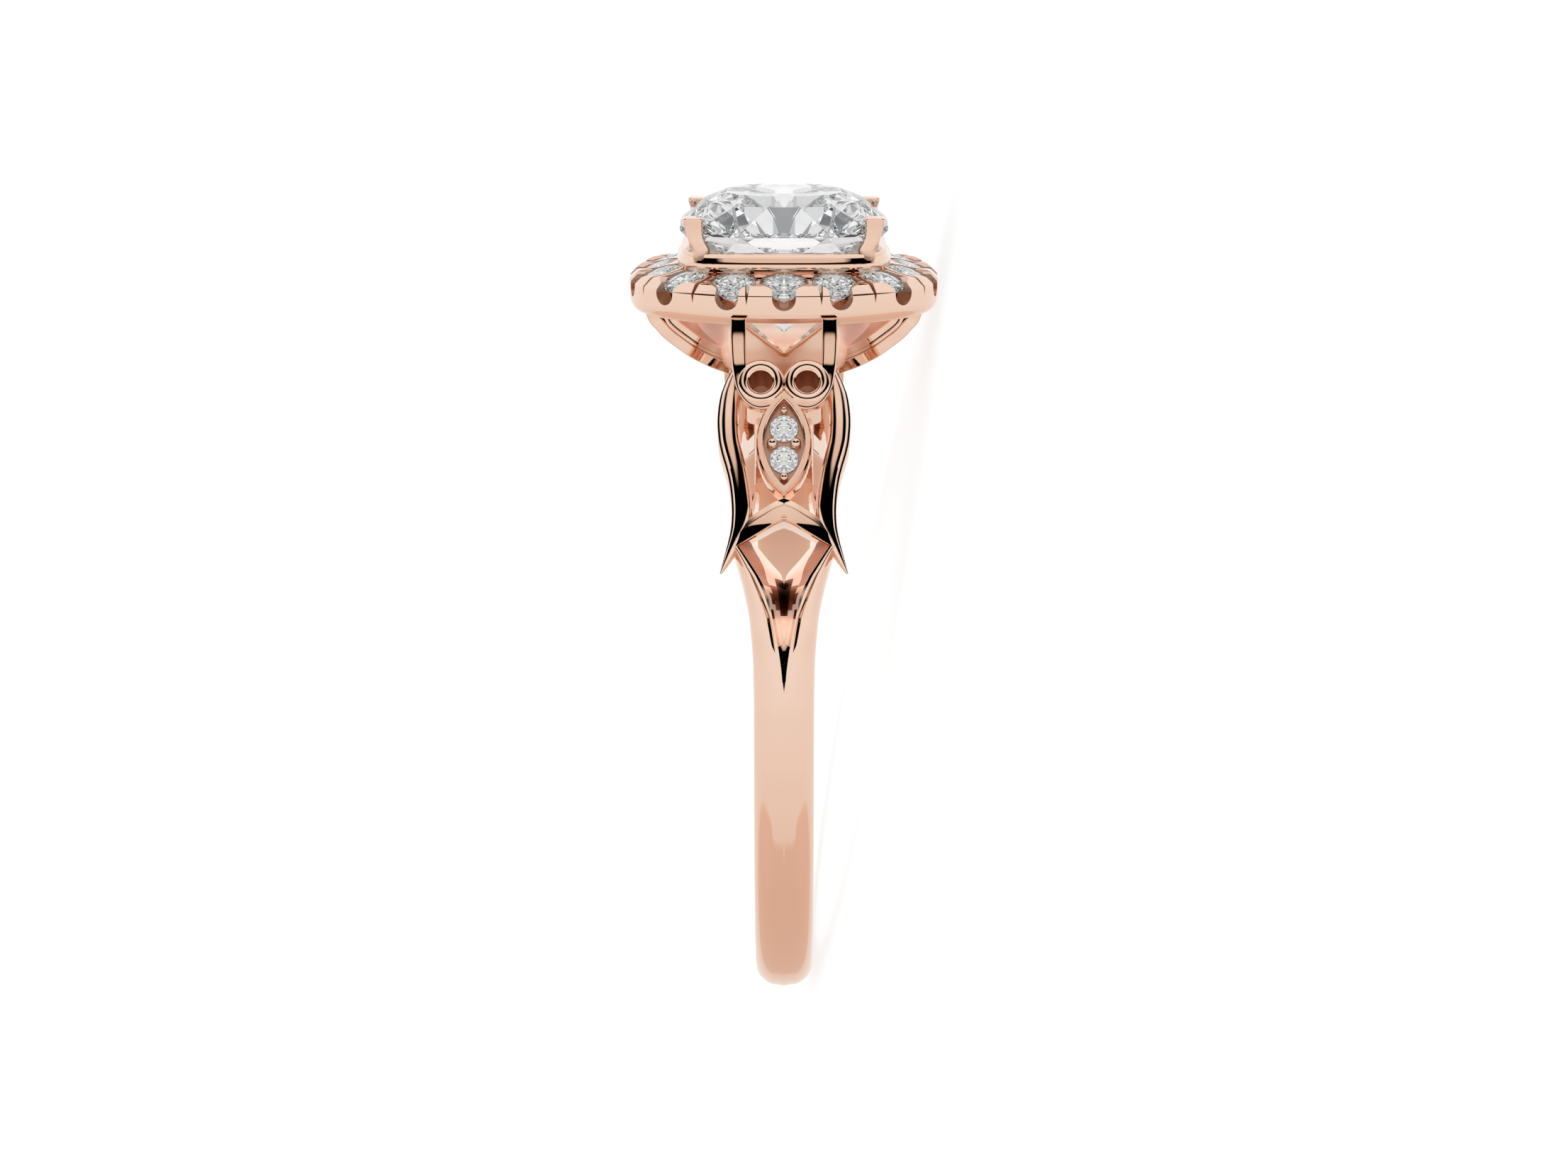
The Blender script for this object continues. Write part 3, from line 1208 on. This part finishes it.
# height z, distance in from the claw's line at the top, half width, squareness
CLAW_ROWS = [(15.06, 0.175, 0.05, 2.2), (15.09, 0.18, 0.13, 2.3), (15.15, 0.195, 0.20, 2.5),
             (15.27, 0.23, 0.258, 2.8), (15.43, 0.25, 0.285, 3.3), (15.57, 0.20, 0.283, 4.2),
             (15.71, 0.13, 0.277, 5.5), (15.94, 0.06, 0.272, 6.5), (16.22, 0.02, 0.29, 7),
             (16.44, 0.00, 0.335, 7), (16.475, 0.00, 0.335, 7), (16.50, 0.00, 0.32, 7),
             (16.52, 0.00, 0.285, 7)]


def claw():
    rings = []
    for z, into, half, square in np.vstack([curve(CLAW_ROWS[:10], 4)[:-1], CLAW_ROWS[9:]]):
        x, y = soft_square(half, square, 48).T
        x, y = x + CLAW_MID - into, -y - CLAW_MID + 0.2 * into
        rings.append(np.column_stack([x, y, np.full(len(x), z)]))
    return skin(rings)


def on_claw_foot(p):
    """Satin on a claw's foot, copper brown on the side that faces the stone."""
    into, half, _ = at(CLAW_ROWS, p.z)
    if abs(p.x) - (CLAW_MID - into) < -0.86 * half:
        return 0.55 * float(np.clip((15.85 - p.z) / 0.3, 0, 1))
    return SATIN * float(np.clip((15.6 - p.z) / 0.25, 0, 1))


piece("claws", mark_recess(mesh_of("claws", four(claw())), on_claw_foot), GOLD, crease=28)

# %% [markdown]
# Diamond bends light strongly, which an index of refraction of 2.42 gives. The stones are clear,
# so their look is what they bend and reflect inside: the facets do the rest.

# %% Diamond
def diamond_material():
    mat = bpy.data.materials.new("diamond")
    mat.use_nodes = True
    shader = mat.node_tree.nodes["Principled BSDF"]
    shader.inputs["Base Color"].default_value = (0.985, 0.985, 0.985, 1)
    shader.inputs["Roughness"].default_value = 0.0
    shader.inputs["IOR"].default_value = 2.42
    shader.inputs["Specular Tint"].default_value = (0.33, 0.37, 0.40, 1)
    shader.inputs["Transmission Weight"].default_value = 1.0
    return mat


DIAMOND = diamond_material()
for name, obj in frame["nodes"].items():
    if "stone" in name:
        for held in obj.material_slots:
            held.material = DIAMOND
print("stones:", sum("stone" in name for name in frame["nodes"]))

# %% [markdown]
# The real stones have more facets than the plain ones of the frame. They are drawn again with rings
# of sixteen corners, each ring turned half a step from the last, so the facets are triangles and
# kites. The halo's stones are simpler, with rings of ten corners, a low crown and a full pavilion.

# %% Centre stone and halo stones
STONE_HALF = 3.45
GIRDLE_Z = 16.0
# half width as a share, height over the girdle as a share of the half width, squareness, whether
# turned half a step
STONE_ROWS = [(0.56, 0.313, 2.6, 0), (0.76, 0.232, 3.0, 1), (1.0, 0.0145, 3.7, 0), (1.0, -0.029, 3.7, 0),
              (0.87, -0.18, 3.4, 1), (0.68, -0.40, 3.0, 0), (0.45, -0.652, 2.6, 1), (0.22, -0.884, 2.2, 0),
              (0.002, -1.072, 2, 0)]
HALO_STONE_ROWS = [(0.58, 0.165, 2, 0), (1.0, 0.01, 2, 1), (1.0, -0.035, 2, 1), (0.62, -0.43, 2, 0),
                   (0.22, -0.74, 2, 1), (0.002, -0.86, 2, 0)]


def faceted(half, rows, count=16):
    """A cut stone with its girdle at height 0."""
    points = []
    for share, height, power, half_step in rows:
        a = 2 * math.pi * (np.arange(count) + half_step / 2) / count
        r = half * share * (np.abs(np.cos(a)) ** power + np.abs(np.sin(a)) ** power) ** (-1 / power)
        points.append(np.column_stack([r * np.cos(a), r * np.sin(a), np.full(count, half * height)]))
    faces = [tuple(range(count))]
    for j, (above, below) in enumerate(zip(rows, rows[1:])):
        for i in range(count):
            k = (i + 1) % count
            p, q, u, v = j * count + i, j * count + k, (j + 1) * count + i, (j + 1) * count + k
            if above[3] == below[3]:
                faces.append((p, q, v, u))
            elif below[3]:
                faces += [(p, q, u), (q, v, u)]
            else:
                faces += [(p, q, v), (p, v, u)]
    faces.append(tuple(reversed([(len(rows) - 1) * count + i for i in range(count)])))
    return np.vstack(points), faces


def setting_tree():
    tree, start, end = new_tree("stones_on_points", Stone="Object", Diamond="Material")
    stone = shape_of(tree, start["Stone"])
    stones = set_on_points(tree, start["Geometry"], stone, Rotation=point_turn(tree))
    return finish_tree(tree, stones, start["Diamond"], end)


points, faces = faceted(STONE_HALF, STONE_ROWS)
points[:, 2] += GIRDLE_Z
centre_stone = mesh_of("centre_stone_cut", [(points, faces)])
piece("centre_stone_cut", centre_stone, DIAMOND, crease=1, node="centre_stone")
pattern = in_scene("halo_stone", mesh_of("halo_stone", [faceted(HALO_STONE_R, HALO_STONE_ROWS, 10)]))
girdles = halo_points("halo_stones_cut", SPOTS, HALO_SLOPE, HALO_GIRDLE)
halo_stones = with_tree(girdles, setting_tree(), Stone=pattern, Diamond=DIAMOND)
bpy.data.objects.remove(pattern)
halo_nodes = [f"halo_stone_{i}" for i in range(1, 17)]
piece("halo_stones_cut", halo_stones, DIAMOND, crease=1, node=halo_nodes)

# %% [markdown]
# A jeweller photographs a polished ring in a white tent with a few dark cards, which give the metal
# its black lines. Here the tent is the world's shader. It has no lamps: how bright it is depends
# only on the direction in which a ray leaves, measured along the ring's own axes, so the studio
# lies on its side together with the ring. First come the tools and the three directions.

# %% Tools of the studio
world = bpy.data.worlds.new("studio")
bpy.context.scene.world = world
world.use_nodes = True
tent = world.node_tree.nodes
tent.clear()


def maths(operation, *values, clamp=False):
    """The result of a maths node on numbers or outputs."""
    node = tent.new("ShaderNodeMath")
    node.operation = operation
    node.use_clamp = clamp
    for socket, value in zip(node.inputs, values):
        feed(socket, value)
    return node.outputs[0]


def along(axis):
    """How far the ray's direction runs along an axis, from -1 to 1."""
    node = tent.new("ShaderNodeVectorMath")
    node.operation = "DOT_PRODUCT"
    feed(node.inputs[0], direction.outputs["Generated"])
    feed(node.inputs[1], tuple(float(v) for v in axis))
    return node.outputs["Value"]


def greys(value, stops):
    """Brightness along a value, eased from stop to stop."""
    return colour_ramp(tent, value, [(place, (grey,) * 3) for place, grey in stops], "EASE")


def blend(factor, a, b, way="MIX"):
    """Two colours mixed or multiplied."""
    node = tent.new("ShaderNodeMix")
    node.data_type = "RGBA"
    node.blend_type = way
    for place, value in ((0, factor), (6, a), (7, b)):
        feed(node.inputs[place], value)
    return node.outputs[2]


def level(degrees):
    """An elevation as 0 to 1 from straight down to straight up."""
    return 0.5 + 0.5 * math.sin(math.radians(degrees))


direction = tent.new("ShaderNodeTexCoord")
side_way, front, up = along(AXIS_X), along(-AXIS_Y), along(AXIS_Z)
height = maths("MULTIPLY_ADD", up, 0.5, 0.5)
print("studio: directions across, front and up")

# %% [markdown]
# The light that the metal mirrors. On the camera's side a dark card hangs above the front, from 24
# to 44 degrees up, and to 58 degrees at the sides. The back is plain. Low down the tent is a little
# darker, and its half-bright parts are warm, because in a real tent they mirror the ring's colour.

# %% What the metal reflects
LOW_COLOUR = (0.92, 0.86, 0.84, 1)


def front_of_tent(dark_to, bright_from, brightness):
    below = [(level(-90), 0.85), (level(-30), 0.92), (level(8), 1.0), (level(19), 1.0), (level(24), 0.0)]
    above = [(level(dark_to), 0.0), (level(bright_from), brightness), (level(75), 1.0)]
    return greys(height, below + above)


front_light = front_of_tent(44, 50, 0.84)
side_light = front_of_tent(58, 66, 0.9)
back_light = greys(height, [(level(-90), 0.85), (level(10), 1.0), (level(90), 1.0)])
far_side = maths("ABSOLUTE", side_way)
is_side = maths("MULTIPLY_ADD", far_side, 8.0, -2.0, clamp=True)
sided = blend(is_side, front_light, side_light)
is_front = maths("MULTIPLY_ADD", front, 4.0, 0.3, clamp=True)
mixed = blend(is_front, back_light, sided)
# the lower part begins straight below at the front, and level at the sides
low = maths("MULTIPLY_ADD", far_side, 0.416, -0.777)
in_low = maths("MULTIPLY", maths("SUBTRACT", low, up), 20.0, clamp=True)
mixed = blend(in_low, mixed, LOW_COLOUR, "MULTIPLY")
warmth = colour_ramp(tent, mixed, [(0.0, (1, 0.80, 0.68)), (0.84, (1, 0.84, 0.74)), (1.0, (1, 1, 1))])
seen = tent.new("ShaderNodeBackground")
feed(seen.inputs["Color"], blend(1.0, mixed, warmth, "MULTIPLY"))
print("studio: dark card above the front")

# %% [markdown]
# A stone bends rays towards every side at once, so it needs a room with many light and grey cards.
# A noise along the directions gives them, the same on the left and on the right. The camera and
# the dull floor see plain white.

# %% What the stones and the camera see
# place on the noise, brightness
CARDS = [(0.0, 0.05), (0.34, 0.13), (0.39, 0.26), (0.45, 0.46), (0.50, 0.66), (0.55, 0.84), (0.60, 1.0),
         (1.0, 1.1)]
spots = tent.new("ShaderNodeTexNoise")
spots.inputs["Scale"].default_value = 2.3
spots.inputs["Detail"].default_value = 2.0
mirrored = tent.new("ShaderNodeCombineXYZ")
for socket, value in zip(mirrored.inputs, (far_side, front, up)):
    feed(socket, value)
feed(spots.inputs["Vector"], mirrored.outputs[0])
middle = maths("MULTIPLY_ADD", far_side, -0.14, 0.045)
cards = greys(maths("ADD", spots.outputs["Fac"], middle), CARDS)
room = tent.new("ShaderNodeBackground")
feed(room.inputs["Color"], cards)
white = tent.new("ShaderNodeBackground")
feed(white.inputs["Color"], (1, 1, 1, 1))
ray = tent.new("ShaderNodeLightPath").outputs
feed(white.inputs["Strength"], maths("MULTIPLY_ADD", ray["Is Diffuse Ray"], 0.10, 1.0))
plain = maths("MAXIMUM", ray["Is Camera Ray"], ray["Is Diffuse Ray"])
pick, through = tent.new("ShaderNodeMixShader"), tent.new("ShaderNodeMixShader")
for node, values in ((through, (ray["Is Transmission Ray"], seen.outputs[0], room.outputs[0])),
                     (pick, (plain, through.outputs[0], white.outputs[0]))):
    for socket, value in zip(node.inputs, values):
        feed(socket, value)
feed(tent.new("ShaderNodeOutputWorld").inputs["Surface"], pick.outputs[0])
scene = bpy.context.scene
scene.view_settings.view_transform = "Standard"
scene.view_settings.look = "None"
scene.cycles.max_bounces = 24
scene.cycles.glossy_bounces = 12
scene.cycles.transmission_bounces = 24
print("studio: light and grey cards for the stones, white for the camera")

# %% [markdown]
# The ring lies on a white sheet. The sheet glows by itself, so it is as white as the tent behind it
# and has no edge, and it takes part in no reflection, because the tent already lights the metal
# from below.

# %% Floor
FLOOR_HALF = 3.0


def floor():
    h = FLOOR_HALF
    mesh = bpy.data.meshes.new("floor")
    mesh.from_pydata([(-h, -h, 0), (h, -h, 0), (h, h, 0), (-h, h, 0)], [], [(0, 1, 2, 3)])
    mat = bpy.data.materials.new("floor_white")
    mat.use_nodes = True
    shader = mat.node_tree.nodes["Principled BSDF"]
    shader.inputs["Base Color"].default_value = (0.25, 0.25, 0.25, 1)
    shader.inputs["Emission Color"].default_value = (1, 1, 1, 1)
    shader.inputs["Emission Strength"].default_value = 0.80
    shader.inputs["Roughness"].default_value = 0.9
    shader.inputs["Specular IOR Level"].default_value = 0.0
    mesh.materials.append(mat)
    obj = in_scene("floor", mesh)
    obj.visible_glossy = False
    obj.visible_transmission = False


floor()
print("floor:", 2 * FLOOR_HALF, "m wide")

# %% [markdown]
# The photograph looks at the ring from the front, 13.5 degrees above its middle, with the head
# up. The ring lies on its side here, so the camera lies on its side too and keeps the same angle
# to the ring, and it stays above the floor.

# %% Camera
PITCH = math.radians(13.5)
CAMERA_MM = np.array([0, -104.04, 28.46])
LENS_PX = 4410.0
PHOTO_PX = 2212.0


def camera():
    data = bpy.data.cameras.new("camera")
    data.sensor_width = 36.0
    data.lens = LENS_PX / PHOTO_PX * data.sensor_width
    data.clip_start = 0.001
    data.clip_end = 10
    obj = in_scene("camera", data)
    forward = AXIS_Y * math.cos(PITCH) - AXIS_Z * math.sin(PITCH)
    up = AXIS_Y * math.sin(PITCH) + AXIS_Z * math.cos(PITCH)
    place = np.array(bore["pos_m"]) + MM * (CAMERA_MM[1] * AXIS_Y + CAMERA_MM[2] * AXIS_Z)
    columns = np.column_stack([AXIS_X, up, -forward, place])
    obj.matrix_world = Matrix([*columns, [0, 0, 0, 1]])
    bpy.context.scene.camera = obj
    print("camera at", (place / MM).round(1), "mm")


camera()

# %% [markdown]
# The dressed ring has to be as large as its construction. Both boxes are written down, so they can
# be compared, and then the scene is handed over.

# %% Write the boxes and finish
print("pieces:", len(made), "triangles:", sum(n for _, n in made))
bpy.context.view_layer.update()
